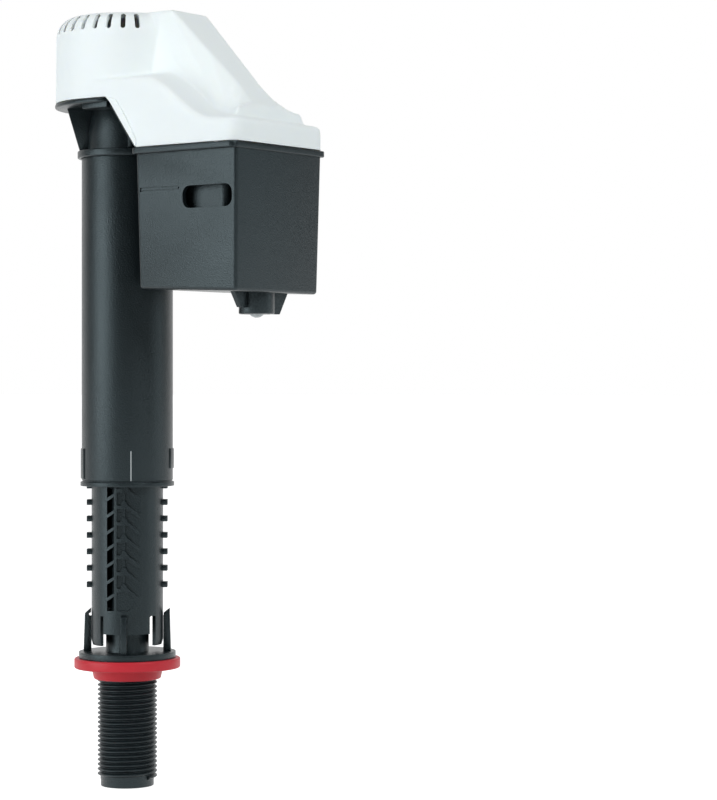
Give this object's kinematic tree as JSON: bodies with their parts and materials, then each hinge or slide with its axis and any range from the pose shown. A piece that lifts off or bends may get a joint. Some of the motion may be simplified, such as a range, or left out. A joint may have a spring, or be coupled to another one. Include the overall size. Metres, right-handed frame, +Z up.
{
  "type": "toilet fill valve",
  "caption": "Telescoping toilet tank fill valve with a threaded inlet shank, red tank washer, adjustable tube, float chamber and white vented cap.",
  "frame": {"origin": "on the tube axis at the underside of the tank washer, where the valve seats on the tank floor", "axes": "+Z up along the tube, +X from the tube to the float chamber, -Y the side of the water level slot"},
  "size_m": [0.1047, 0.064, 0.298],
  "materials": {
    "black_plastic": "fine-grained moulded black",
    "white_plastic": "smooth moulded white",
    "red_rubber": "satin red",
    "dark_rubber": "matt black",
    "clear_grey": "milky",
    "steel": "brushed"
  },
  "bodies": {
    "base": {"threaded_shank": "black_plastic", "shank_washer": "red_rubber", "adjusting_sleeve": "black_plastic"},
    "seal": {"riser_seal": "dark_rubber"},
    "head": {"outer_tube": "black_plastic", "supply_pipe": "black_plastic", "valve_head": "black_plastic", "refill_nipple": "black_plastic", "float_chamber": "black_plastic", "ball_retainer": "black_plastic", "bonnet_seal": "dark_rubber", "valve_bonnet": "black_plastic", "pivot_pin": "steel"},
    "ball": {"check_ball": "clear_grey"},
    "membrane": {"diaphragm": "dark_rubber", "valve_poppet": "white_plastic"},
    "lever": {"lever": "black_plastic", "pilot_pad": "dark_rubber"},
    "float": {"chamber_float": "black_plastic", "float_rod": "clear_grey", "rod_clip": "steel"},
    "cap": {"cap": "white_plastic"}
  },
  "joints": [
    {"name": "height_slide", "type": "slide", "parent": "base", "child": "seal", "axis": [0, 0, 1], "range_m": [-0.0448, 0.0704]},
    {"name": "twist_lock", "type": "hinge", "parent": "seal", "child": "head", "pos_m": [0, 0, 0.074], "axis": [0, 0, 1], "range_deg": [0, 60]},
    {"name": "float_slide", "type": "slide", "parent": "head", "child": "float", "axis": [0, 0, 1], "range_m": [0, 0.008]},
    {"name": "lever_tilt", "type": "hinge", "parent": "head", "child": "lever", "pos_m": [0.006, 0, 0.234], "axis": [0, -1, 0], "range_deg": [0, 16.6]},
    {"name": "diaphragm_lift", "type": "slide", "parent": "head", "child": "membrane", "axis": [0, 0, 1], "range_m": [-0.0013, 0]},
    {"name": "ball_lift", "type": "slide", "parent": "head", "child": "ball", "axis": [0, 0, 1], "range_m": [0, 0.0031]},
    {"name": "cap_lift", "type": "slide", "parent": "head", "child": "cap", "axis": [0, 0, 1], "range_m": [0, 0.06]}
  ],
  "couplings": [
    {"joint": "lever_tilt", "follows": "float_slide", "rad_per_m": 35.85},
    {"joint": "diaphragm_lift", "follows": "float_slide", "ratio": -0.16}
  ]
}
